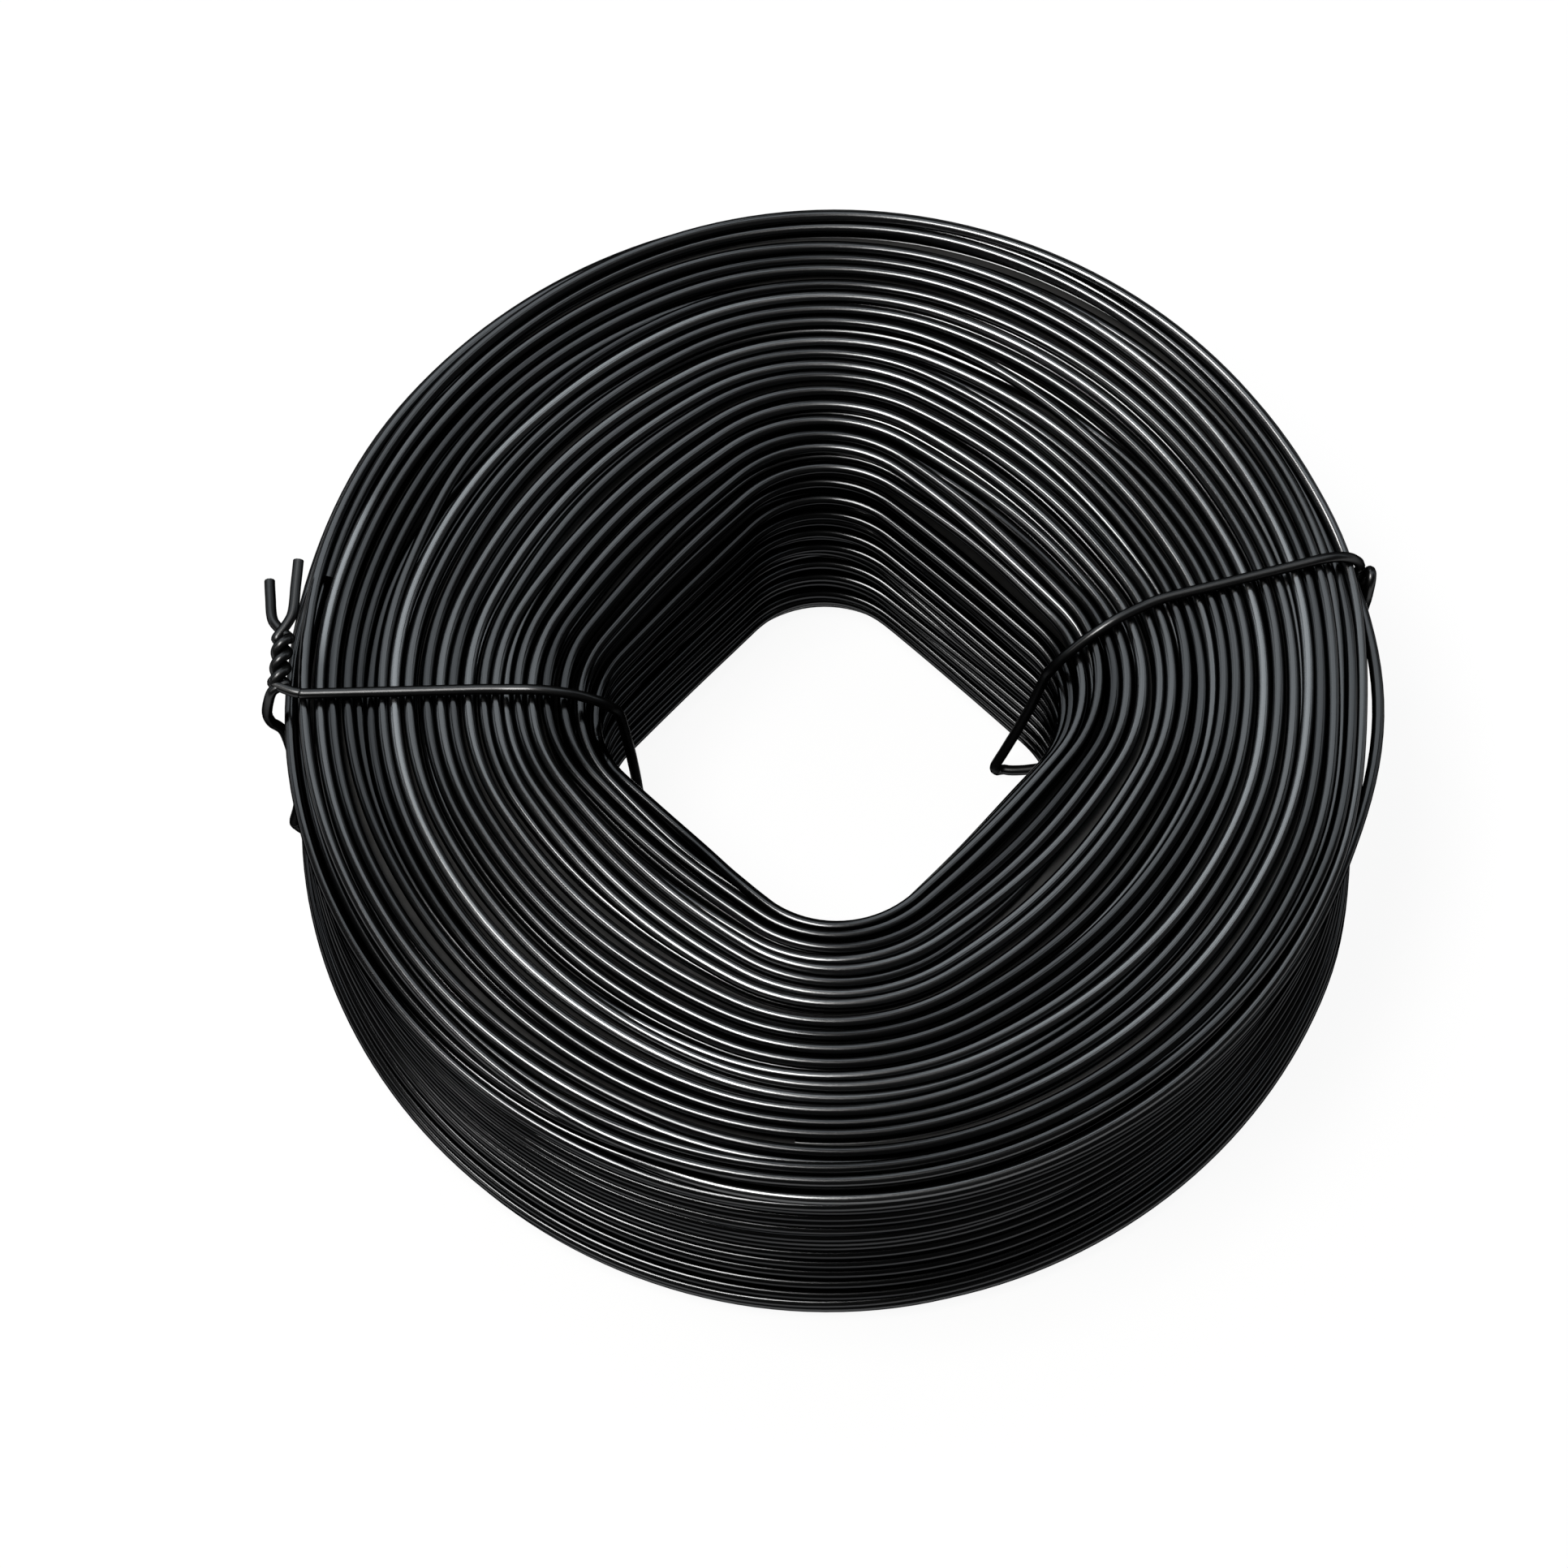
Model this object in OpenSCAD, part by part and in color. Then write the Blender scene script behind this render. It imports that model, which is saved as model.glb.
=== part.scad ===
// Coil of black annealed tie wire with a square bore, held by two twisted tie wires.
// It lies flat: Z is the coil's axis, the bore's flats face X and Y, and the ties cross two of its corners.

/* [Wire] */
// Diameter of the coiled wire
wire_d = 1.6; // [1.4:0.1:1.8]
// Spacing of the turns that show round the section
turn_pitch = 2.15; // [2:0.05:2.6]

/* [Coil] */
// Bore across its flats
bore_flat = 49; // [44:1:60]
// Radius of the bore's corners
bore_corner_r = 12.5; // [9:0.5:15]
// Thickness of the winding from the bore to the outside, across a corner
winding_t = 40.5; // [36:0.5:55]
// Height of the coil along its axis
coil_h = 46; // [40:1:55]
// Rounding of the section beside the bore
inner_round = 9; // [6:0.5:10]
// Rounding of the section at the rim
rim_round = 5; // [4:0.5:7]
// Hollow of the outside wall at mid height
waist = 1.5; // [0:0.1:2]
// Thickness of each pack of turns between the square ones at the bore and the round ones at the rim
pack_t = 7; // [4:0.5:10]
// Depth to which the lowest turns are flattened by the floor
foot_trim = 0.05; // [0.03:0.01:0.1]

/* [Ties] */
// Diameter of the tie wire
tie_d = 1.4; // [1.2:0.1:1.6]
// Direction of the tie with the open pigtail, round the coil's axis
pigtail_angle = 224; // [215:0.5:228]
// Direction of the tie with the folded twist, round the coil's axis
folded_angle = 57.5; // [45:0.5:60]
// How far the pigtail tie stands off the bore's corner at the bottom
pigtail_slack = 2.5; // [1:0.1:3]
// How far the folded tie stands off the bore's corner at the bottom
folded_slack = 4; // [1:0.1:5]
// Length over which the ends of a tie are twisted together
twist_length = 6.5; // [5.5:0.5:9]
// Gap between a tie and the turns that it holds
tie_gap = 0.15; // [0.1:0.05:0.3]

/* [Hidden] */
$fn = 48;
wire_r = wire_d / 2;
tie_r = tie_d / 2;
// Turns of the twist at a tie's ends
twist_turns = 1.5;
// Half length of the bore's straights, and the distance from the axis to its corners
bore_straight = bore_flat / 2 - bore_corner_r;
bore_corner = bore_straight * sqrt(2) + bore_corner_r;
rim_corner = bore_corner + winding_t;
// Height of the section before its lowest turns are flattened
section_h = coil_h + foot_trim;
// The floor of the step between two packs lies this far under the wires' centres
step_depth = 0.75 * wire_r;

// Rounded to a hundredth, so that the arcs and the straights of a turn meet exactly.
function hundredth(x) = round(x * 100) / 100;

// The upper half of the line on which the wires' centres lie, from mid height in the bore over the top
// to mid height on the outside: bore wall, inner round, top, rim round, hollow outside wall.
bore_wall_l = section_h / 2 - inner_round;
inner_arc_l = (inner_round - wire_r) * PI / 2;
top_l = winding_t - inner_round - rim_round;
rim_arc_l = (rim_round - wire_r) * PI / 2;
outer_wall_l = section_h / 2 - rim_round;
half_l = bore_wall_l + inner_arc_l + top_l + rim_arc_l + outer_wall_l;

function on_bore_wall(u) = [wire_r, section_h / 2 + u];
function on_inner_round(u) = let (r = inner_round - wire_r, a = u / r * 180 / PI)
    [inner_round - r * cos(a), section_h - inner_round + r * sin(a)];
function on_top(u) = [inner_round + u, section_h - wire_r];
function on_rim_round(u) = let (r = rim_round - wire_r, a = u / r * 180 / PI)
    [winding_t - rim_round + r * sin(a), section_h - rim_round + r * cos(a)];
function on_outer_wall(u) = let (w = 1 - u / outer_wall_l)
    [winding_t - wire_r - waist * (1 - w * w), section_h - rim_round - u];
function centre(u) =
    u < bore_wall_l ? on_bore_wall(u)
    : u < bore_wall_l + inner_arc_l ? on_inner_round(u - bore_wall_l)
    : u < bore_wall_l + inner_arc_l + top_l ? on_top(u - bore_wall_l - inner_arc_l)
    : u < half_l - outer_wall_l ? on_rim_round(u - bore_wall_l - inner_arc_l - top_l)
    : on_outer_wall(u - half_l + outer_wall_l);

turn_count = round(half_l / turn_pitch);
spacing = half_l / turn_count;
upper_turns = [for (i = [0:turn_count - 1]) let (c = centre((i + 0.5) * spacing))
    [hundredth(c.x), hundredth(c.y)]];
function below(p) = [p.x, hundredth(section_h - p.y)];
function backwards(list) = [for (i = [len(list) - 1:-1:0]) list[i]];

// The turns lie in packs. The first goes round the bore, on a square with rounded corners, and the last
// round the rim, on circles. Those between them are swept round squares whose straights grow shorter.
round_pack = 3;
function pack_of(p) = p.x < inner_round ? 0 : min(round_pack, 1 + floor((p.x - inner_round) / pack_t));
function pack_straight(k) = hundredth(bore_straight * (1 - k / round_pack));
function pack_corner_r(k) = hundredth(bore_corner - pack_straight(k) * sqrt(2));
// How far a pack reaches in under the one inside it, to close the wider gap on the flats
pack_reach = spacing + (sqrt(2) - 1) * bore_straight / round_pack + 0.5;

module pack_section(k) {
    turns = [for (p = upper_turns) if (pack_of(p) == k) p];
    first = turns[0];
    step = k == 0 ? [] : [
        [hundredth(first.x - pack_reach), hundredth(first.y - step_depth)],
        [first.x, hundredth(first.y - step_depth)]
    ];
    edge = concat(step, turns);
    polygon(concat([for (p = edge) below(p)], backwards(edge)));
    for (p = turns) {
        translate(p) circle(r = wire_r);
        translate(below(p)) circle(r = wire_r);
    }
}

module square_pack(k) {
    q = pack_straight(k);
    r = pack_corner_r(k);
    for (a = [0:90:270]) rotate([0, 0, a]) translate([q, q, 0]) {
        rotate_extrude(angle = 90) translate([r, 0]) pack_section(k);
        rotate([90, 0, 0]) linear_extrude(height = 2 * q) translate([r, 0]) pack_section(k);
    }
}

// Under the coil a tie is pressed in among the turns, flush with the floor, and comes out at the rim.
floor_gap = 0.05;
tie_low = tie_r + floor_gap;
tie_high = coil_h + tie_gap + tie_r;
tie_out = rim_corner + tie_gap + tie_r;
tie_rim_r = rim_round + tie_gap + tie_r;

module tie_channel(angle) {
    width = tie_d + 2 * tie_gap;
    bed = tie_low + tie_r + tie_gap;
    rotate([0, 0, angle]) translate([0, width / 2, 0]) rotate([90, 0, 0]) linear_extrude(height = width) {
        translate([bore_corner - 1, -1]) square([winding_t + 3, bed + 1]);
        difference() {
            translate([tie_out - rim_round, -1]) square([rim_round + 2, tie_low + rim_round + 1]);
            translate([tie_out - rim_round, tie_low + rim_round]) circle(r = rim_round - tie_r - tie_gap);
        }
    }
}

module wire_coil() {
    color([0.05, 0.05, 0.055]) difference() {
        translate([0, 0, -foot_trim]) {
            for (k = [0:round_pack - 1]) square_pack(k);
            rotate_extrude() translate([pack_corner_r(round_pack), 0]) pack_section(round_pack);
        }
        translate([-100, -100, -10]) cube([200, 200, 10]);
        tie_channel(pigtail_angle);
        tie_channel(folded_angle);
    }
}

// A wire swept along a path, its eight-sided rings carried along without twisting.
function unit(v) = v / norm(v);
function tangent(path, i) = unit(path[min(i + 1, len(path) - 1)] - path[max(i - 1, 0)]);
function across(n, t) = unit(n - (n * t) * t);
function normals(path) = [for (
        i = 0, n = across([0.3, 0.8, 0.52], tangent(path, 0));
        i < len(path);
        i = i + 1, n = i < len(path) ? across(n, tangent(path, i)) : n
    ) n];

module wire_along(path, r) {
    sides = 8;
    ns = normals(path);
    points = [for (i = [0:len(path) - 1]) let (b = cross(tangent(path, i), ns[i]))
        for (k = [0:sides - 1]) path[i] + r * (cos(k * 360 / sides) * ns[i] + sin(k * 360 / sides) * b)];
    last = (len(path) - 1) * sides;
    faces = concat(
        [[for (k = [0:sides - 1]) k]],
        [for (i = [0:len(path) - 2]) for (k = [0:sides - 1]) let (a = i * sides, n = (k + 1) % sides)
            each [[a + k, a + sides + n, a + n], [a + k, a + sides + k, a + sides + n]]],
        [[for (k = [sides - 1:-1:0]) last + k]]
    );
    polyhedron(points = points, faces = faces);
}

// The loop of a tie, from the rim over the top, down the bore's corner and back under to the rim.
// Its points are [distance from the axis, sideways, height]. The top run strays sideways by "stray"
// before it goes over the inner round, and it kinks under the coil at [kink_r, kink_t].
top_bend = [bore_corner + inner_round, coil_h - inner_round];
bend_r = inner_round + 2 * tie_gap + tie_r;
function placed(r, t, z) = [sqrt(r * r - t * t), t, z];
function lean(kink_r) = let (d = [kink_r, tie_low] - top_bend)
    atan2(d.y, d.x) + 360 - acos(bend_r / norm(d));
function stray_at(r, stray) = stray * pow(max(0, min(1, (top_bend.x + 6 - r) / (inner_round + 6))), 1.5);
function tie_top(stray, from) = [for (r = [from, top_bend.x + 12, top_bend.x + 6, top_bend.x + 3])
    placed(r, stray_at(r, stray), tie_high)];
function tie_bend(stray, kink_r) = [for (i = [0:6]) let (
        a = 90 + i * (lean(kink_r) - 90) / 6,
        r = top_bend.x + bend_r * cos(a)
    ) placed(r, stray_at(r, stray), top_bend.y + bend_r * sin(a))];
function tie_kink(kink_r, kink_t) = [
    [kink_r + 0.25, kink_t, tie_low + 2.6],
    [kink_r + 0.1, kink_t, tie_low + 1.1],
    [kink_r + 0.5, kink_t, tie_low + 0.3],
    [kink_r + 1.4, kink_t, tie_low]
];
function tie_under() = concat(
    [[bore_corner + 2.5, 0, tie_low]],
    [for (i = [0:5]) let (a = -90 + i * 18)
        [tie_out - rim_round + rim_round * cos(a), 0, tie_low + rim_round + rim_round * sin(a)]]
);

// Two strands wound round an axis that starts at p and points along d, side by side along e.
strand_r = 1.07 * tie_r;
function strand(p, d, e, phase) = [for (i = [0:15]) let (
        f = i / 15,
        a = phase + 360 * twist_turns * f,
        g = cross(d, e)
    ) p + d * twist_length * f + strand_r * (cos(a) * e + sin(a) * g)];

// The pigtail tie's ends are twisted over the rim and open in a V.
pigtail_start = [rim_corner + 0.2, -1.6, coil_h + 0.5];
pigtail_dir = unit([-0.08, -1, 0.03]);
pigtail_side = unit(cross(pigtail_dir, [0, 0, 1]));
pigtail_end = pigtail_start + pigtail_dir * twist_length;
pigtail_kink_r = bore_corner - pigtail_slack - tie_r;
pigtail_path = concat(
    [pigtail_end + [1.8, -8.4, -1], pigtail_end + [1.65, -5.4, -0.7], pigtail_end + [1.25, -2.3, -0.3]],
    backwards(strand(pigtail_start, pigtail_dir, -pigtail_side, 0)),
    [[rim_corner - 1.2, -0.5, tie_high - 0.1], [rim_corner - 2.6, -0.1, tie_high]],
    tie_top(1, rim_corner - 4.5),
    tie_bend(1, pigtail_kink_r),
    tie_kink(pigtail_kink_r, -3.4),
    tie_under(),
    [[tie_out - 0.65 * waist, 0, 12], [tie_out - 0.85 * waist, 0, coil_h * 0.5],
        [tie_out - 0.4 * waist, 0.1, coil_h - 11], [tie_out + 0.7, 0.3, coil_h - 7.5],
        [tie_out + 1.2, 0.3, coil_h - 4.5], [tie_out + 0.8, -0.2, coil_h - 1.4],
        [tie_out + 0.1, -0.9, coil_h + 0.2]],
    strand(pigtail_start, pigtail_dir, pigtail_side, 0),
    [pigtail_end + [-1.1, -2.8, 0.3], pigtail_end + [-1.6, -6.5, 0.5], pigtail_end + [-2, -10.4, 0.7]]
);

// The folded tie's ends are twisted down against the outside wall.
folded_start = [tie_out + 0.35, 0, coil_h - 7.5];
folded_dir = unit([-0.08, 0, -1]);
folded_side = unit(cross([0, 1, 0], folded_dir));
folded_end = folded_start + folded_dir * twist_length;
folded_kink_r = bore_corner - folded_slack - tie_r;
folded_path = concat(
    [folded_end + [0.9, -0.4, -2.4], folded_end + [0.85, -0.2, -1.2]],
    backwards(strand(folded_start, folded_dir, folded_side, 0)),
    [for (i = [0:4]) let (a = 4 + i * 21.5)
        [rim_corner - rim_round + tie_rim_r * cos(a), 0, coil_h - rim_round + tie_rim_r * sin(a)]],
    tie_top(-4.4, rim_corner - 8),
    tie_bend(-4.4, folded_kink_r),
    tie_kink(folded_kink_r, 1.2),
    tie_under(),
    [[tie_out - 0.4 * waist, -1, 12], [tie_out - 0.5 * waist, -2.6, coil_h * 0.5],
        [tie_out + 0.1, -3, coil_h - 10], [tie_out + 0.45, -2.7, coil_h - 7], [tie_out + 0.9, -1.9, coil_h - 5.4],
        [tie_out + 1.25, -0.9, coil_h - 5.2], [tie_out + 1.3, -0.2, coil_h - 6.2]],
    strand(folded_start, folded_dir, -folded_side, 0),
    [folded_end + [-0.75, 0.1, -0.8], folded_end + [-0.75, 0.1, -1.7]]
);

module pigtail_tie() {
    color([0.09, 0.09, 0.1]) rotate([0, 0, pigtail_angle]) wire_along(pigtail_path, tie_r);
}

module folded_tie() {
    color([0.09, 0.09, 0.1]) rotate([0, 0, folded_angle]) wire_along(folded_path, tie_r);
}

wire_coil();
pigtail_tie();
folded_tie();
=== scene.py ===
"""Coil of black annealed tie wire, held by two twisted ties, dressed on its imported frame."""

import math

import bmesh
import bpy
import numpy as np
from mathutils import Matrix, Vector


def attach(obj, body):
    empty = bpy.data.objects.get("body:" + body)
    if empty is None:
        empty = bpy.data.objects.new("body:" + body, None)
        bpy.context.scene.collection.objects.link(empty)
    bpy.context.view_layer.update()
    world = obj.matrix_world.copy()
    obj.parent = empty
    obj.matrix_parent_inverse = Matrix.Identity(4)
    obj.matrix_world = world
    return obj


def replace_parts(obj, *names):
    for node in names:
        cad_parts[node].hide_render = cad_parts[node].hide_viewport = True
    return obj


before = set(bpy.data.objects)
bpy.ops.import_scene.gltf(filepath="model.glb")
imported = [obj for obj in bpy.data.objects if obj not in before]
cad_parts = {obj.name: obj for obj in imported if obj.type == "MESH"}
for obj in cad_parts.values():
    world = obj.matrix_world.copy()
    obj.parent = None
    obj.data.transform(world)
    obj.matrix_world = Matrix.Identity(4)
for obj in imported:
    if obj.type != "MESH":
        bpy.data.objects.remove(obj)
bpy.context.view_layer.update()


# The plan of the winding: one length of wire, wound to and fro in layers on a square hub. A turn runs level
# and then jogs up or down, and the hub's square wears off towards the round rim. The last turn steps in a
# little and ends on top. Depths are measured from the bore's wall outwards.
WIRE_D = 0.0016
BORE_HALF = 0.0245
BORE_CORNER_R = 0.0125
RIM_R = 0.06997
COIL_H = 0.046
INNER_ROUND = 0.009
FOOT_ROUND = 0.003
EDGE_ROUND = 0.0042
LAYER_COUNT = 21
TURN_PITCH = 0.0026
WALL_PITCH = 0.0029
STEPS = 96
STRAND_START = math.radians(143)
STRAND_END = math.radians(208.8)
TAIL_TURNS = 0.9
TAIL_STEP_IN = 0.0026
TAIL_LIFT = 0.0013
wire_r = WIRE_D / 2
bore_straight = BORE_HALF - BORE_CORNER_R
winding_t = RIM_R - bore_straight * math.sqrt(2) - BORE_CORNER_R
rng = np.random.default_rng(11)


def bore_at(angle):
    """Distance from the axis to the bore's wall, a square with rounded corners."""
    side = np.abs((angle + math.pi / 4) % (math.pi / 2) - math.pi / 4)
    cos, sin = np.cos(side), np.sin(side)
    inside = np.maximum(BORE_CORNER_R**2 - (bore_straight * (cos - sin)) ** 2, 0)
    on_corner = bore_straight * (cos + sin) + np.sqrt(inside)
    return np.where(BORE_HALF * sin / cos < bore_straight, BORE_HALF / cos, on_corner)


def half_height(depth, inner_round=INNER_ROUND):
    """How far from mid height a wire's centre may lie, at a depth from the bore's wall outwards."""
    inner = np.clip(inner_round - depth, 0, inner_round - wire_r)
    rim = np.clip(depth - (winding_t - EDGE_ROUND), 0, EDGE_ROUND - wire_r)
    inner_drop = inner_round - wire_r - np.sqrt((inner_round - wire_r) ** 2 - inner**2)
    rim_drop = EDGE_ROUND - wire_r - np.sqrt((EDGE_ROUND - wire_r) ** 2 - rim**2)
    return COIL_H / 2 - wire_r - inner_drop - rim_drop


def smoothed(values, width):
    """Values along the strand, averaged over a window of this many steps."""
    window = np.hanning(width + 2)[1:-1]
    padded = np.pad(values, width, mode="edge")
    return np.convolve(padded, window / window.sum(), mode="same")[width:-width]


def ease(x):
    """A smooth step from nought to one."""
    x = np.clip(x, 0, 1)
    return x * x * (3 - 2 * x)


plan_depth, plan_height = [], []
for layer, depth in enumerate(np.linspace(wire_r, winding_t - wire_r, LAYER_COUNT)):
    top, foot = float(half_height(depth)), -float(half_height(depth, FOOT_ROUND))
    levels = int((top - foot) / (TURN_PITCH if 2 <= layer < LAYER_COUNT - 2 else WALL_PITCH))
    jog = rng.uniform(0.3, 0.6)
    turns = np.arange(-0.9 * jog, levels + 1 - rng.uniform(0, 0.12), 1 / STEPS)
    level = np.clip(np.floor(turns) + ease((turns % 1 - 1 + jog) / jog), 0, levels)
    climb = (top - foot) * level / levels
    plan_depth.append(np.full(len(turns), depth))
    plan_height.append(foot + climb if layer % 2 == 0 else top - climb)
tail = np.linspace(0, 1, int(TAIL_TURNS * STEPS))
plan_depth.append(winding_t - wire_r - TAIL_STEP_IN * ease(tail))
plan_height.append(plan_height[-1][-1] + (COIL_H / 2 - plan_height[-1][-1]) * ease(1.5 * tail))
plan_depth = smoothed(np.concatenate(plan_depth), STEPS // 2)
plan_height = smoothed(np.concatenate(plan_height), STEPS // 8)
lost = round((STRAND_END - STRAND_START) / (2 * math.pi) * STEPS)
turn_count = (len(plan_depth) - lost) // STEPS
step_count = turn_count * STEPS
plan_depth, plan_height = plan_depth[-step_count:], plan_height[-step_count:]
step_angle = STRAND_END + (np.arange(step_count) - step_count + 1) * 2 * math.pi / STEPS
lift = np.zeros(step_count)
lift[-len(tail) :] = TAIL_LIFT * ease(2 * tail - 0.6)


# The strand settles: it strays a little from the plan, its turns push each other apart where they would
# run through each other, and the wire stays stiff along its length. One outer turn has sprung loose, the
# wires on the walls get a darker tone as painted shade, and a few stretches on top are lighter.
RIM_ROUND = 0.005
WAIST = 0.0015
SETTLE_ROUNDS = 70
PAIRS_EVERY = 14
LOOSE_AT = math.radians(40.5)
LOOSE_REACH = math.radians(20)
LOOSE_BY = 0.00098
PUSH_SHARE = 0.4
STIFFNESS = 0.2
PLAN_PULL = 0.02
CLEARANCE = 1.01
TONE_MEAN = 0.17
TONE_STRAY = 0.1
TONE_MOST = 0.5
WALL_SHADE = 0.85
# Each stretch has a depth, a direction in degrees, a reach in turns and a tone.
LIGHT_STRETCHES = (
    (0.0265, 222, 0.3, 0.75),
    (0.0255, 42, 0.25, 0.7),
    (0.0325, 42, 0.2, 0.7),
    (0.037, 209, 0.03, 0.9),
)


def wander(width, size):
    """A slow stray along the strand, with this standard deviation."""
    noise = smoothed(rng.standard_normal(step_count), width)
    return noise * size / noise.std()


plan = np.stack([plan_depth, plan_height], axis=1)
at_rim = ease((plan_depth - winding_t + 0.006) / 0.004)
at_bore = ease((0.005 - plan_depth) / 0.003)
looseness = 1 + 1.1 * at_rim + at_bore
plan[:, 0] += (wander(STEPS // 3, 0.00016) + wander(STEPS, 0.00026)) * looseness
plan[:, 1] += (wander(STEPS // 3, 0.00012) + wander(STEPS, 0.00022)) * looseness
strand = plan.copy()
slices = np.arange(step_count).reshape(turn_count, STEPS)


def near_pairs(reach):
    """Pairs of steps in the same slice through the coil that lie nearer than reach."""
    first, second = [], []
    for k in range(STEPS):
        at = strand[slices[:, k]]
        gap = at[:, None, :] - at[None, :, :]
        i, j = np.nonzero(np.triu((gap**2).sum(axis=2) < reach**2, 1))
        first.append(slices[i, k])
        second.append(slices[j, k])
    return np.concatenate(first), np.concatenate(second)


def held_in(points):
    """Points kept inside the coil's section, which has a waist on its outside."""
    wall = np.clip(1 - (points[:, 1] / (COIL_H / 2 - RIM_ROUND)) ** 2, 0, 1)
    depth = np.clip(points[:, 0], wire_r, winding_t - wire_r - WAIST * wall)
    height = np.clip(points[:, 1], -half_height(depth, FOOT_ROUND), half_height(depth) + lift)
    return np.stack([depth, height], axis=1)


for settle in range(SETTLE_ROUNDS):
    if settle % PAIRS_EVERY == 0:
        one, other = near_pairs(2 * WIRE_D)
    gap = strand[one] - strand[other]
    distance = np.maximum(np.linalg.norm(gap, axis=1), 1e-6)
    push = gap * (np.clip(WIRE_D * CLEARANCE - distance, 0, None) * PUSH_SHARE / distance)[:, None]
    for axis in (0, 1):
        strand[:, axis] += np.bincount(one, push[:, axis], step_count)
        strand[:, axis] -= np.bincount(other, push[:, axis], step_count)
    strand[1:-1] += STIFFNESS * (strand[:-2] + strand[2:] - 2 * strand[1:-1])
    strand = held_in(strand + PLAN_PULL * (plan - strand))

step_bore = bore_at(step_angle)
step_r = step_bore + strand[:, 0] * (RIM_R - step_bore) / winding_t
last_turn = np.arange(step_count) - (step_count - len(tail) - STEPS)
on_last = (last_turn >= 0) & (last_turn < STEPS)
from_loose = (step_angle - LOOSE_AT + math.pi) % (2 * math.pi) - math.pi
loose = LOOSE_BY * np.cos(np.clip(from_loose / LOOSE_REACH, -1, 1) * math.pi / 2) ** 2
step_r += np.where(on_last, loose, -loose * (strand[:, 0] / winding_t) ** 2)
step_xyz = np.stack(
    [step_r * np.cos(step_angle), step_r * np.sin(step_angle), strand[:, 1] + COIL_H / 2], axis=1
)
# Wires near the walls, away from the top and foot edges, get a lower tone: painted shade, which also dims
# their reflection of the floor.
to_wall = np.minimum(strand[:, 0], winding_t - strand[:, 0])
in_wall = ease((0.0045 - to_wall) / 0.002)
off_edge = ease((COIL_H / 2 - 0.003 - np.abs(strand[:, 1])) / 0.003)
shaded = in_wall * off_edge
step_tone = np.clip(TONE_MEAN + wander(STEPS, TONE_STRAY), 0, TONE_MOST) * (1 - WALL_SHADE * shaded)
for depth, angle, turns, tone in LIGHT_STRETCHES:
    column = slices[:, round((math.radians(angle) - step_angle[0]) / (2 * math.pi) * STEPS) % STEPS]
    nearest = np.argmin(np.abs(strand[column, 0] - depth) - 3 * strand[column, 1])
    away_steps = (np.arange(step_count) - column[nearest]) / (turns * STEPS)
    step_tone = np.maximum(step_tone, tone * np.exp(-(away_steps**4)))


# Black wire: a thin skin of dark oxide and oil over steel, with streaks drawn along it. The colour reads
# each wire's own place (its length and the way round it) and a tone that changes from turn to turn.
class Shade:
    """A shader socket that adds, subtracts and multiplies as a number does."""

    def __init__(self, tree, socket=None):
        self.tree = tree
        self.socket = socket

    def node(self, kind, settings, sockets, output=0):
        """A new node: its settings first, then what its sockets are fed with."""
        made = self.tree.nodes.new(kind)
        for key, value in settings.items():
            setattr(made, key, value)
        for key, value in sockets.items():
            if isinstance(value, Shade):
                self.tree.links.new(value.socket, made.inputs[key])
            else:
                made.inputs[key].default_value = value
        return Shade(self.tree, made.outputs[output])

    def math(self, operation, first, second):
        """What an operation makes of two sockets or numbers."""
        return self.node("ShaderNodeMath", {"operation": operation}, {0: first, 1: second})

    def __add__(self, other):
        return self.math("ADD", self, other)

    __radd__ = __add__

    def __sub__(self, other):
        return self.math("SUBTRACT", self, other)

    def __rsub__(self, other):
        return self.math("SUBTRACT", other, self)

    def __mul__(self, other):
        return self.math("MULTIPLY", self, other)

    __rmul__ = __mul__


def wire_material(name, dark, light, rough):
    """Black oxide on wire, with a varied tone and streaks along the wire."""
    material = bpy.data.materials.new(name)
    material.use_nodes = True
    tree = material.node_tree
    shader = tree.nodes["Principled BSDF"]
    base = Shade(tree)
    place = base.node("ShaderNodeAttribute", {"attribute_name": "wire_place"}, {}, "Vector")
    tone = base.node("ShaderNodeAttribute", {"attribute_name": "wire_tone"}, {}, "Fac")
    cloud = base.node("ShaderNodeTexNoise", {}, {"Vector": place, "Scale": 1.4, "Detail": 3.0})
    streak = base.node("ShaderNodeTexNoise", {}, {"Vector": place, "Scale": 5.0, "Detail": 3.0})
    colour = base.node(
        "ShaderNodeMix", {"data_type": "RGBA"}, {0: tone * 0.8 + (cloud - 0.5) * 0.3, 6: dark, 7: light}, 2
    )
    tree.links.new(colour.socket, shader.inputs["Base Color"])
    roughness = rough + (tone - 0.2) * 0.1 + (streak - 0.5) * 0.14 + (cloud - 0.5) * 0.08
    tree.links.new(roughness.socket, shader.inputs["Roughness"])
    bump = base.node("ShaderNodeBump", {}, {"Strength": 0.1, "Distance": 0.0001, "Height": streak})
    tree.links.new(bump.socket, shader.inputs["Normal"])
    shader.inputs["Metallic"].default_value = 1
    shader.inputs["Specular Tint"].default_value = (0.08, 0.08, 0.08, 1)
    return material


coil_black = wire_material("coil_black", (0.032, 0.0325, 0.0335, 1), (0.28, 0.284, 0.288, 1), 0.18)
tie_black = wire_material("tie_black", (0.025, 0.0255, 0.0265, 1), (0.08, 0.08, 0.08, 1), 0.28)


# The turns of the coil that lie near its surface, in stretches of the strand, sorted by the part of the
# coil that they show on. What lies deeper is a filling, near black as painted shade, that closes the view
# between them.
SEEN_DEPTH = 0.0042
RING = 10


def finer(points):
    """Points with one more between each two, on a smooth curve through them all."""
    before = np.concatenate([points[:1], points[:-2]])
    ahead = np.concatenate([points[2:], points[-1:]])
    fine = np.repeat(points, 2, axis=0)[:-1]
    fine[1::2] = (9 * (points[:-1] + points[1:]) - before - ahead) / 16
    return fine


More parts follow.
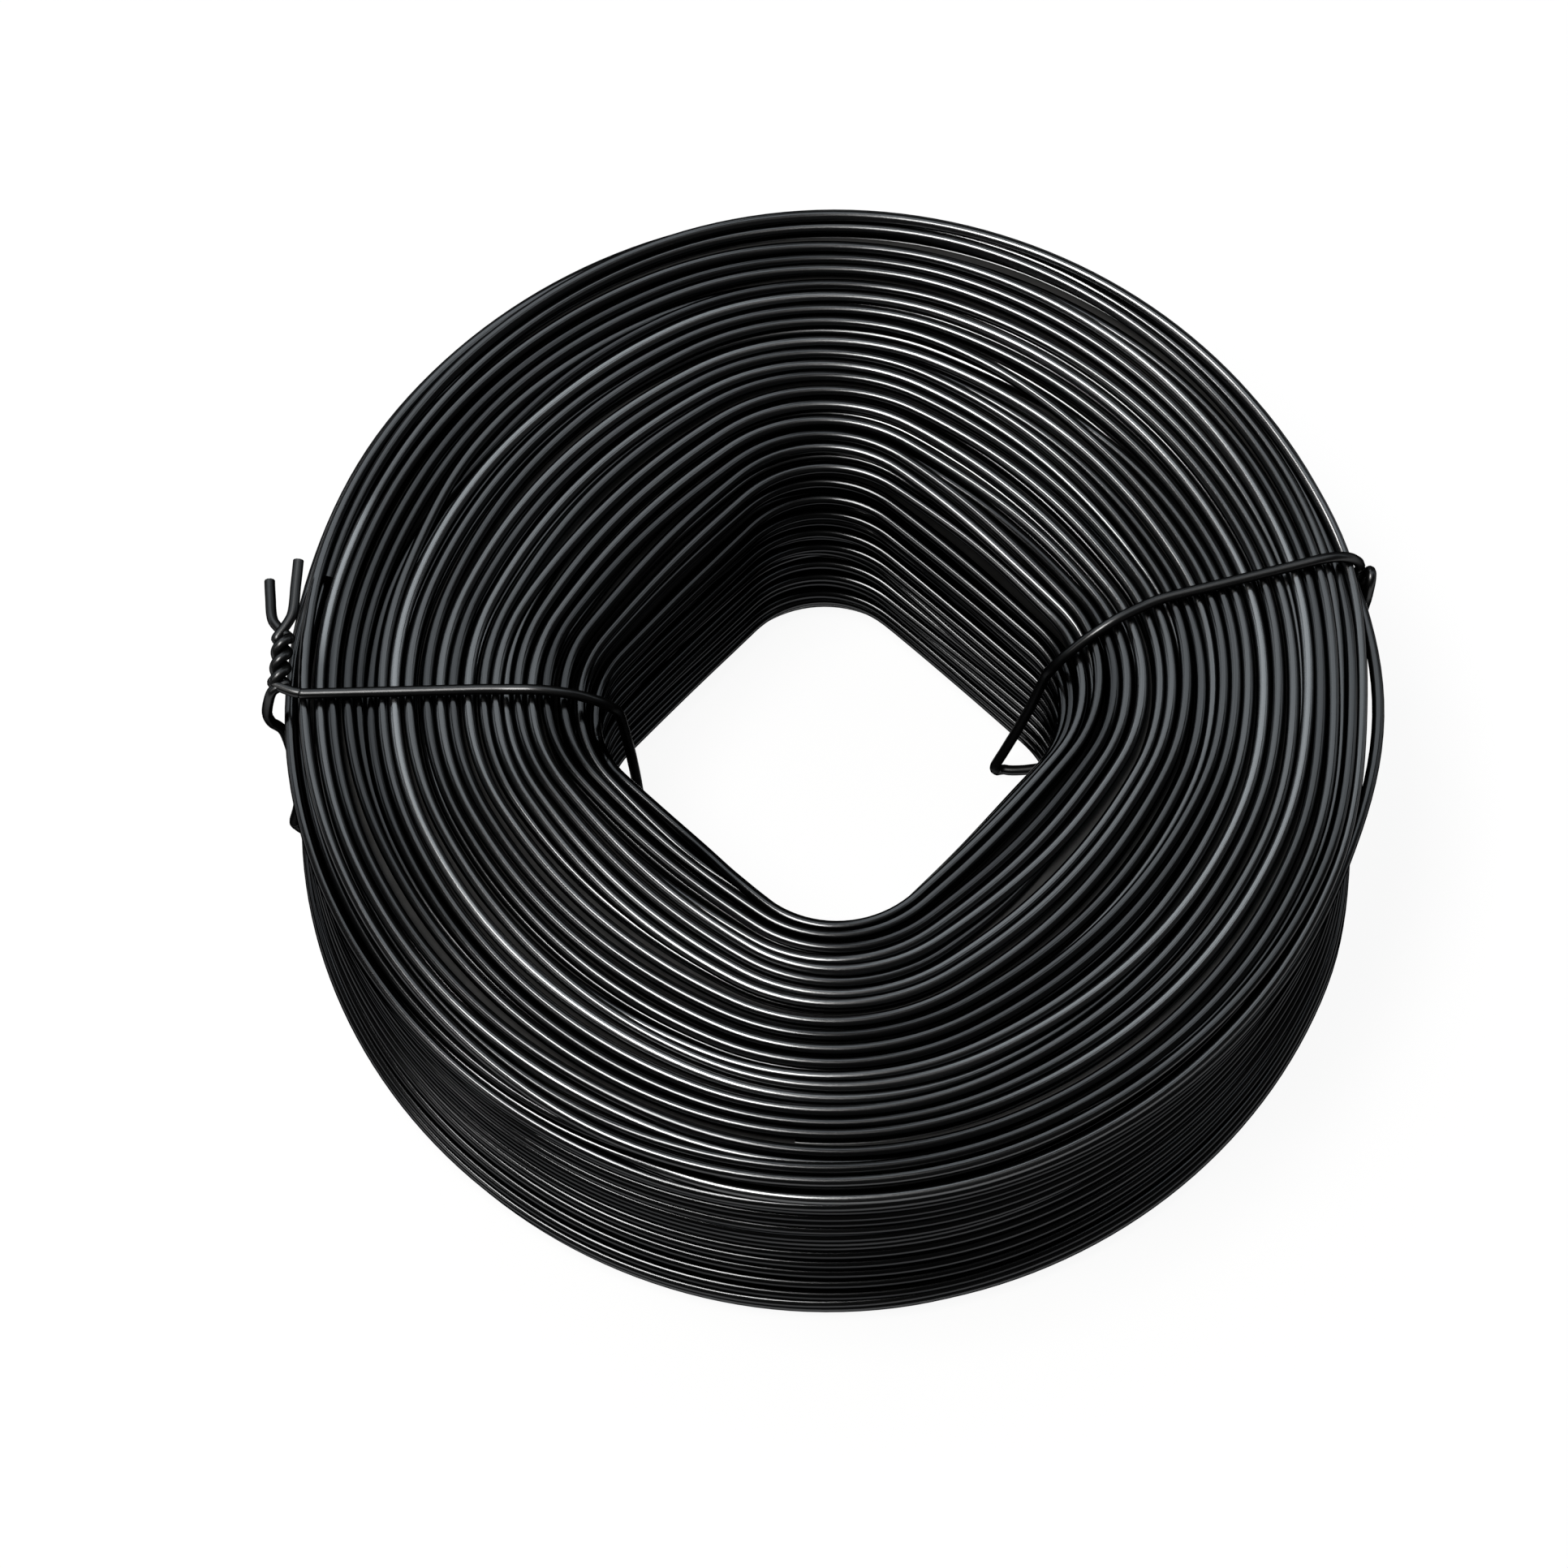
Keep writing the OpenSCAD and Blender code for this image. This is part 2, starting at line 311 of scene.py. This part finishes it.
def ring_values(lines):
    """Values along the wires, for each vertex of their mesh: the caps come first, from the last wire's."""
    caps = [value for line in reversed(lines) for value in (line[-1], line[0])]
    return np.repeat(np.concatenate([caps, *lines]), RING)


def wire_piece(name, paths, radius, material):
    """One mesh of wires along paths, each of points, their lengths along the wire and their tones."""
    curve = bpy.data.curves.new(name, "CURVE")
    curve.dimensions = "3D"
    curve.twist_mode = "Z_UP"
    curve.bevel_depth = radius
    curve.bevel_resolution = RING // 2 - 2
    curve.use_fill_caps = True
    for points, _, _ in paths:
        spline = curve.splines.new("POLY")
        spline.points.add(len(points) - 1)
        spline.points.foreach_set("co", np.column_stack([points, np.ones(len(points))]).ravel())
        spline.use_smooth = True
    source = bpy.data.objects.new(name + "_line", curve)
    bpy.context.collection.objects.link(source)
    shape = source.evaluated_get(bpy.context.evaluated_depsgraph_get())
    mesh = bpy.data.meshes.new_from_object(shape)
    bpy.data.objects.remove(source)
    mesh.name = name
    mesh.materials.clear()
    mesh.materials.append(material)
    along = ring_values([path[1] for path in paths])
    tone = ring_values([path[2] for path in paths])
    around = np.tile(np.arange(RING) * 2 * math.pi / RING, len(along) // RING)
    place = np.stack([along * 10, np.cos(around), np.sin(around)], axis=1)
    mesh.attributes.new("wire_place", "FLOAT_VECTOR", "POINT").data.foreach_set("vector", place.ravel())
    mesh.attributes.new("wire_tone", "FLOAT", "POINT").data.foreach_set("value", tone)
    piece = bpy.data.objects.new(name, mesh)
    bpy.context.collection.objects.link(piece)
    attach(piece, "root")
    return piece


def zone(start, end):
    """The part of the coil that a stretch of the strand mostly shows on."""
    depth = strand[start:end, 0].mean()
    if depth < INNER_ROUND:
        return "bore_turns"
    if depth > winding_t - RIM_ROUND:
        return "rim_turns"
    return "top_turns" if strand[start:end, 1].mean() > 0 else "bottom_turns"


to_top = half_height(strand[:, 0]) - strand[:, 1] + wire_r
to_foot = half_height(strand[:, 0], FOOT_ROUND) + strand[:, 1] + wire_r
seen = np.minimum(to_wall, np.minimum(to_top, to_foot)) < SEEN_DEPTH
edges = np.flatnonzero(np.diff(np.concatenate([[0], seen.astype(int), [0]])))
step_along = np.cumsum(step_r) * 2 * math.pi / STEPS
zones = {}
for start, end in zip(edges[::2], edges[1::2]):
    if end - start > 8:
        path = (finer(step_xyz[start:end]), finer(step_along[start:end]), finer(step_tone[start:end]))
        zones.setdefault(zone(start, end), []).append(path)
for name, paths in sorted(zones.items()):
    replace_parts(wire_piece(name, paths, wire_r, coil_black), "wire_coil")

# The corners of the filling's section, each a depth and a height
CORE_SECTION = (
    (0.003, 0.023),
    (0.0042, 0.0402),
    (0.0085, 0.0431),
    (0.0362, 0.0431),
    (0.0372, 0.04),
    (0.0362, 0.023),
    (0.0372, 0.006),
    (0.0362, 0.0029),
    (0.0045, 0.0029),
)


def carried(verts, depth, height):
    """Vertices moved out along their own directions, to this depth in the winding and this height."""
    for vert in verts:
        angle = math.atan2(vert.co.y, vert.co.x)
        bore = float(bore_at(angle))
        reach = bore + depth * (RIM_R - bore) / winding_t
        vert.co = (reach * math.cos(angle), reach * math.sin(angle), height)


bm = bmesh.new()
bmesh.ops.create_circle(bm, segments=STEPS, radius=1)
carried(bm.verts, *CORE_SECTION[0])
rim = list(bm.edges)
for depth, height in CORE_SECTION[1:] + CORE_SECTION[:1]:
    grown = bmesh.ops.extrude_edge_only(bm, edges=rim)["geom"]
    carried([part for part in grown if isinstance(part, bmesh.types.BMVert)], depth, height)
    rim = [part for part in grown if isinstance(part, bmesh.types.BMEdge)]
    rim = [edge for edge in rim if len(edge.link_faces) == 1]
bmesh.ops.remove_doubles(bm, verts=bm.verts, dist=1e-6)
bmesh.ops.recalc_face_normals(bm, faces=bm.faces)
core_mesh = bpy.data.meshes.new("inner_turns")
bm.to_mesh(core_mesh)
bm.free()
core = bpy.data.objects.new("inner_turns", core_mesh)
bpy.context.collection.objects.link(core)
# The filling's near-black colour is painted shade for the deep turns; its noise varies only that shade and
# the roughness.
dark = bpy.data.materials.new("painted_shade_inside")
dark.use_nodes = True
tree = dark.node_tree
inside = Shade(tree)
place = inside.node("ShaderNodeTexCoord", {}, {}, "Object")
filling_noise = inside.node("ShaderNodeTexNoise", {}, {"Vector": place, "Scale": 420.0, "Detail": 3.0})
black, grey = (0.0015, 0.0015, 0.0015, 1), (0.006, 0.0058, 0.0055, 1)
colour = inside.node("ShaderNodeMix", {"data_type": "RGBA"}, {0: filling_noise, 6: black, 7: grey}, 2)
tree.links.new(colour.socket, tree.nodes["Principled BSDF"].inputs["Base Color"])
tree.links.new((filling_noise * 0.3 + 0.65).socket, tree.nodes["Principled BSDF"].inputs["Roughness"])
core_mesh.materials.append(dark)
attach(core, "root")
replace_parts(core, "wire_coil")


# The ties: bent as in the frame, with round sections and smooth bends, and hanging a little further into
# the bore. A tie's own axes are the distance from the coil's axis, the way sideways and the height.
TIE_D = 0.0014
TIE_GAP = 0.00015
TIE_FLOOR = 0.00005
PIGTAIL_ANGLE = math.radians(224)
FOLDED_ANGLE = math.radians(57.5)
PIGTAIL_SLACK = 0.0038
FOLDED_SLACK = 0.0058
TWIST_LENGTH = 0.0065
TWIST_TURNS = 1.5
TWIST_POINTS = 24
TWIST_SPREAD = 1.07
tie_r = TIE_D / 2
bore_corner = RIM_R - winding_t
tie_low = tie_r + TIE_FLOOR
tie_high = COIL_H + TIE_GAP + tie_r
tie_out = RIM_R + TIE_GAP + tie_r
bend_r = INNER_ROUND + 2 * TIE_GAP + tie_r
bend_at = (bore_corner + INNER_ROUND, COIL_H - INNER_ROUND)
mm = 0.001


def placed(distance, side, height):
    """A point at this true distance from the axis."""
    return (math.sqrt(distance**2 - side**2), side, height)


def strayed(distance, stray):
    """How far sideways a tie's top run has strayed by this distance from the axis."""
    share = (bend_at[0] + 6 * mm - distance) / (INNER_ROUND + 6 * mm)
    return stray * min(1, max(0, share)) ** 1.5


def tie_loop(stray, start, kink, kink_side, belly):
    """A tie from the rim over the top, down the bore's corner, round its kink and back under the coil."""
    path = []
    for distance in (start, bend_at[0] + 12 * mm, bend_at[0] + 6 * mm, bend_at[0] + 3 * mm):
        path.append(placed(distance, strayed(distance, stray), tie_high))
    run = (kink - bend_at[0], tie_low - bend_at[1])
    lean = math.atan2(run[1], run[0]) + 2 * math.pi - math.acos(bend_r / math.hypot(*run))
    hung = []
    for i in range(9):
        angle = math.pi / 2 + i * (lean - math.pi / 2) / 8
        distance = bend_at[0] + bend_r * math.cos(angle)
        hung.append(placed(distance, strayed(distance, stray), bend_at[1] + bend_r * math.sin(angle)))
    foot = (kink + 0.25 * mm, kink_side, tie_low + 2.6 * mm)
    hung = np.concatenate([hung, np.linspace(hung[-1], foot, 8)[1:]])
    hung[:, 0] -= belly * np.sin(np.linspace(0, math.pi, len(hung)))
    for _ in range(10):
        hung[1:-1, 1] = (hung[:-2, 1] + hung[2:, 1]) / 2
    path += [tuple(point) for point in hung]
    for out, rise in ((0.1, 1.1), (0.5, 0.3), (1.4, 0)):
        path.append((kink + out * mm, kink_side, tie_low + rise * mm))
    path.append((bore_corner + 2.5 * mm, 0, tie_low))
    for i in range(6):
        angle = -math.pi / 2 + i * math.pi / 10
        reach = RIM_ROUND * math.cos(angle) - RIM_ROUND
        path.append((tie_out + reach, 0, tie_low + RIM_ROUND * (1 + math.sin(angle))))
    return path


def twisted(start, ahead, side):
    """One of the two strands of a twist that runs ahead from start, the first point lying to this side."""
    turns = np.linspace(0, TWIST_TURNS * 2 * math.pi, TWIST_POINTS)
    other = ahead.cross(side)
    reach = TWIST_SPREAD * tie_r
    strand_points = []
    for i, turn in enumerate(turns):
        along = ahead * TWIST_LENGTH * i / (TWIST_POINTS - 1)
        off = (side * math.cos(turn) + other * math.sin(turn)) * reach
        strand_points.append(tuple(start + along + off))
    return strand_points


def past(point, *offsets):
    """Points at these offsets, in millimetres, from a point."""
    return [tuple(point + Vector(offset) * mm) for offset in offsets]


def tie_piece(name, path, angle):
    """A tie along a smooth curve through the path's points, turned to its place."""
    points = np.array(path)
    for _ in range(3):
        points = finer(points)
    points[:, 2] = np.maximum(points[:, 2], tie_low)
    turn = np.array([[math.cos(angle), math.sin(angle)], [-math.sin(angle), math.cos(angle)]])
    points[:, :2] = points[:, :2] @ turn
    along = np.concatenate([[0], np.cumsum(np.linalg.norm(np.diff(points, axis=0), axis=1))])
    piece = wire_piece(name, [(points, along, np.full(len(points), 0.5))], tie_r, tie_black)
    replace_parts(piece, name)


start = Vector((RIM_R + 0.2 * mm, -1.6 * mm, COIL_H + 0.5 * mm))
ahead = Vector((-0.08, -1, 0.03)).normalized()
side = ahead.cross(Vector((0, 0, 1))).normalized()
end = start + ahead * TWIST_LENGTH
tie_piece(
    "pigtail_tie",
    past(end, (1.8, -8.4, -1), (1.65, -5.4, -0.7), (1.25, -2.3, -0.3))
    + twisted(start, ahead, -side)[::-1]
    + past(Vector((RIM_R, 0, tie_high)), (-1.2, -0.5, -0.1), (-2.6, -0.1, 0))
    + tie_loop(1 * mm, RIM_R - 4.5 * mm, bore_corner - PIGTAIL_SLACK - tie_r, -3.4 * mm, 1.5 * mm)
    + past(Vector((tie_out, 0, 0)), (-0.97, 0, 12), (-1.27, 0, 23), (-0.6, 0.1, 35), (0.7, 0.3, 38.5))
    + past(Vector((tie_out, 0, COIL_H)), (1.2, 0.3, -4.5), (0.8, -0.2, -1.4), (0.1, -0.9, 0.2))
    + twisted(start, ahead, side)
    + past(end, (-1.1, -2.8, 0.3), (-1.6, -6.5, 0.5), (-2, -10.4, 0.7)),
    PIGTAIL_ANGLE,
)

start = Vector((tie_out + 0.35 * mm, 0, COIL_H - 7.5 * mm))
ahead = Vector((-0.08, 0, -1)).normalized()
side = Vector((0, 1, 0)).cross(ahead).normalized()
end = start + ahead * TWIST_LENGTH
over = RIM_ROUND + TIE_GAP + tie_r
over_rim = []
for i in range(5):
    angle = math.radians(4 + 21.5 * i)
    over_rim.append(
        (RIM_R - RIM_ROUND + over * math.cos(angle), 0, COIL_H - RIM_ROUND + over * math.sin(angle))
    )
tie_piece(
    "folded_tie",
    past(end, (0.9, -0.4, -2.4), (0.85, -0.2, -1.2))
    + twisted(start, ahead, side)[::-1]
    + over_rim
    + tie_loop(-4.4 * mm, RIM_R - 8 * mm, bore_corner - FOLDED_SLACK - tie_r, 1.2 * mm, 0.4 * mm)
    + past(Vector((tie_out, 0, 0)), (-0.6, -1, 12), (-0.75, -2.6, 23), (0.1, -3, 36), (0.45, -2.7, 39))
    + past(Vector((tie_out, 0, COIL_H)), (0.9, -1.9, -5.4), (1.25, -0.9, -5.2), (1.3, -0.2, -6.2))
    + twisted(start, ahead, -side)
    + past(end, (-0.75, 0.1, -0.8), (-0.75, 0.1, -1.7)),
    FOLDED_ANGLE,
)


# The studio: a white floor, and soft boxes set out in the camera's own directions. A bright one overhead,
# leaning to the left, makes the sharp lights along the wires, and dim ones round it lift the other turns.
CAMERA_AZIMUTH = math.radians(42.4)
CAMERA_ELEVATION = math.radians(66.57)
CAMERA_DISTANCE = 1.0
PHOTO_SIZE = 1932
CENTRE_PIXEL = (1022.7, 930)
FOCAL_PIXELS = 9460
SENSOR_WIDTH = 36
WARM = (1, 0.985, 0.96)
COOL = (0.88, 0.95, 1)
FLOOR_GLOW = 0.93
coil_middle = Vector((0, 0, COIL_H / 2))
right = Vector((math.cos(CAMERA_AZIMUTH), math.sin(CAMERA_AZIMUTH), 0))
away = Vector((-math.sin(CAMERA_AZIMUTH), math.cos(CAMERA_AZIMUTH), 0))
up = Vector((0, 0, 1))
back = up * math.sin(CAMERA_ELEVATION) - away * math.cos(CAMERA_ELEVATION)


def aimed(data, name, towards, distance):
    """A camera or lamp that stands in this direction from the coil and faces it."""
    made = bpy.data.objects.new(name, data)
    bpy.context.collection.objects.link(made)
    made.location = coil_middle + towards.normalized() * distance
    made.rotation_mode = "QUATERNION"
    made.rotation_quaternion = towards.to_track_quat("Z", "Y")
    return made


camera_data = bpy.data.cameras.new("camera")
camera_data.sensor_width = SENSOR_WIDTH
camera_data.lens = SENSOR_WIDTH * FOCAL_PIXELS / PHOTO_SIZE
camera_data.shift_x = -(CENTRE_PIXEL[0] / PHOTO_SIZE - 0.5)
camera_data.shift_y = CENTRE_PIXEL[1] / PHOTO_SIZE - 0.5
bpy.context.scene.camera = aimed(camera_data, "camera", back, CAMERA_DISTANCE)


def soft_box(name, towards, distance, size, radiance, tint):
    """A lamp with an even face of this size and brightness, its long side across the picture."""
    data = bpy.data.lights.new(name, "AREA")
    data.shape = "RECTANGLE"
    data.size, data.size_y = size
    data.energy = radiance * math.pi * size[0] * size[1]
    data.color = tint
    box = aimed(data, name, towards, distance)
    z = towards.normalized()
    x = (right - z * right.dot(z)).normalized()
    y = z.cross(x)
    box.rotation_quaternion = Matrix((x, y, z)).transposed().to_quaternion()


soft_box("key_box", right * -0.24 + away * -0.12 + up * 0.96, 1.4, (0.42, 0.64), 26.5, WARM)
soft_box("left_box", right * -0.72 + away * -0.33 + up * 0.6, 1.4, (0.3, 0.4), 2.7, WARM)
soft_box("far_strip", away * 0.44 + up * 0.9, 1.4, (2.1, 0.5), 1.6, COOL)
soft_box("corner_box", right * -0.33 + away * 0.74 + up * 0.58, 1.5, (0.8, 0.7), 1.9, COOL)
soft_box("right_box", right * 0.36 + away * 0.04 + up * 0.93, 1.4, (0.4, 0.4), 1.2, COOL)
soft_box("left_strip", right * -0.82 + away * 0.4 + up * 0.42, 1.5, (1.1, 0.5), 1.2, COOL)
soft_box("right_strip", right * 0.82 + away * 0.4 + up * 0.42, 1.5, (1.1, 0.5), 0.8, COOL)

floor_mesh = bpy.data.meshes.new("floor")
bm = bmesh.new()
bmesh.ops.create_grid(bm, x_segments=1, y_segments=1, size=3)
bm.to_mesh(floor_mesh)
bm.free()
floor = bpy.data.objects.new("floor", floor_mesh)
bpy.context.collection.objects.link(floor)
white = bpy.data.materials.new("white_floor")
white.use_nodes = True
tree = white.node_tree
tree.nodes["Principled BSDF"].inputs["Base Color"].default_value = (0.85, 0.85, 0.85, 1)
tree.nodes["Principled BSDF"].inputs["Roughness"].default_value = 0.9
studio = Shade(tree)
camera_ray = studio.node("ShaderNodeLightPath", {}, {}, "Is Camera Ray")
glossy_ray = studio.node("ShaderNodeLightPath", {}, {}, "Is Glossy Ray")
through_ray = studio.node("ShaderNodeLightPath", {}, {}, "Is Transmission Ray")
paper = Shade(tree, tree.nodes["Principled BSDF"].outputs[0])
glow = studio.node("ShaderNodeEmission", {}, {"Color": (1, 1, 1, 1), "Strength": 1.0})
share = (camera_ray + glossy_ray + through_ray) * FLOOR_GLOW
lit = studio.node("ShaderNodeMixShader", {}, {0: share, 1: paper, 2: glow})
tree.links.new(lit.socket, tree.nodes["Material Output"].inputs["Surface"])
floor_mesh.materials.append(white)

world = bpy.data.worlds.new("studio")
bpy.context.scene.world = world
world.use_nodes = True
world.node_tree.nodes["Background"].inputs["Color"].default_value = (1, 1, 1, 1)
world.node_tree.nodes["Background"].inputs["Strength"].default_value = 0.05
bpy.context.scene.view_settings.view_transform = "Standard"
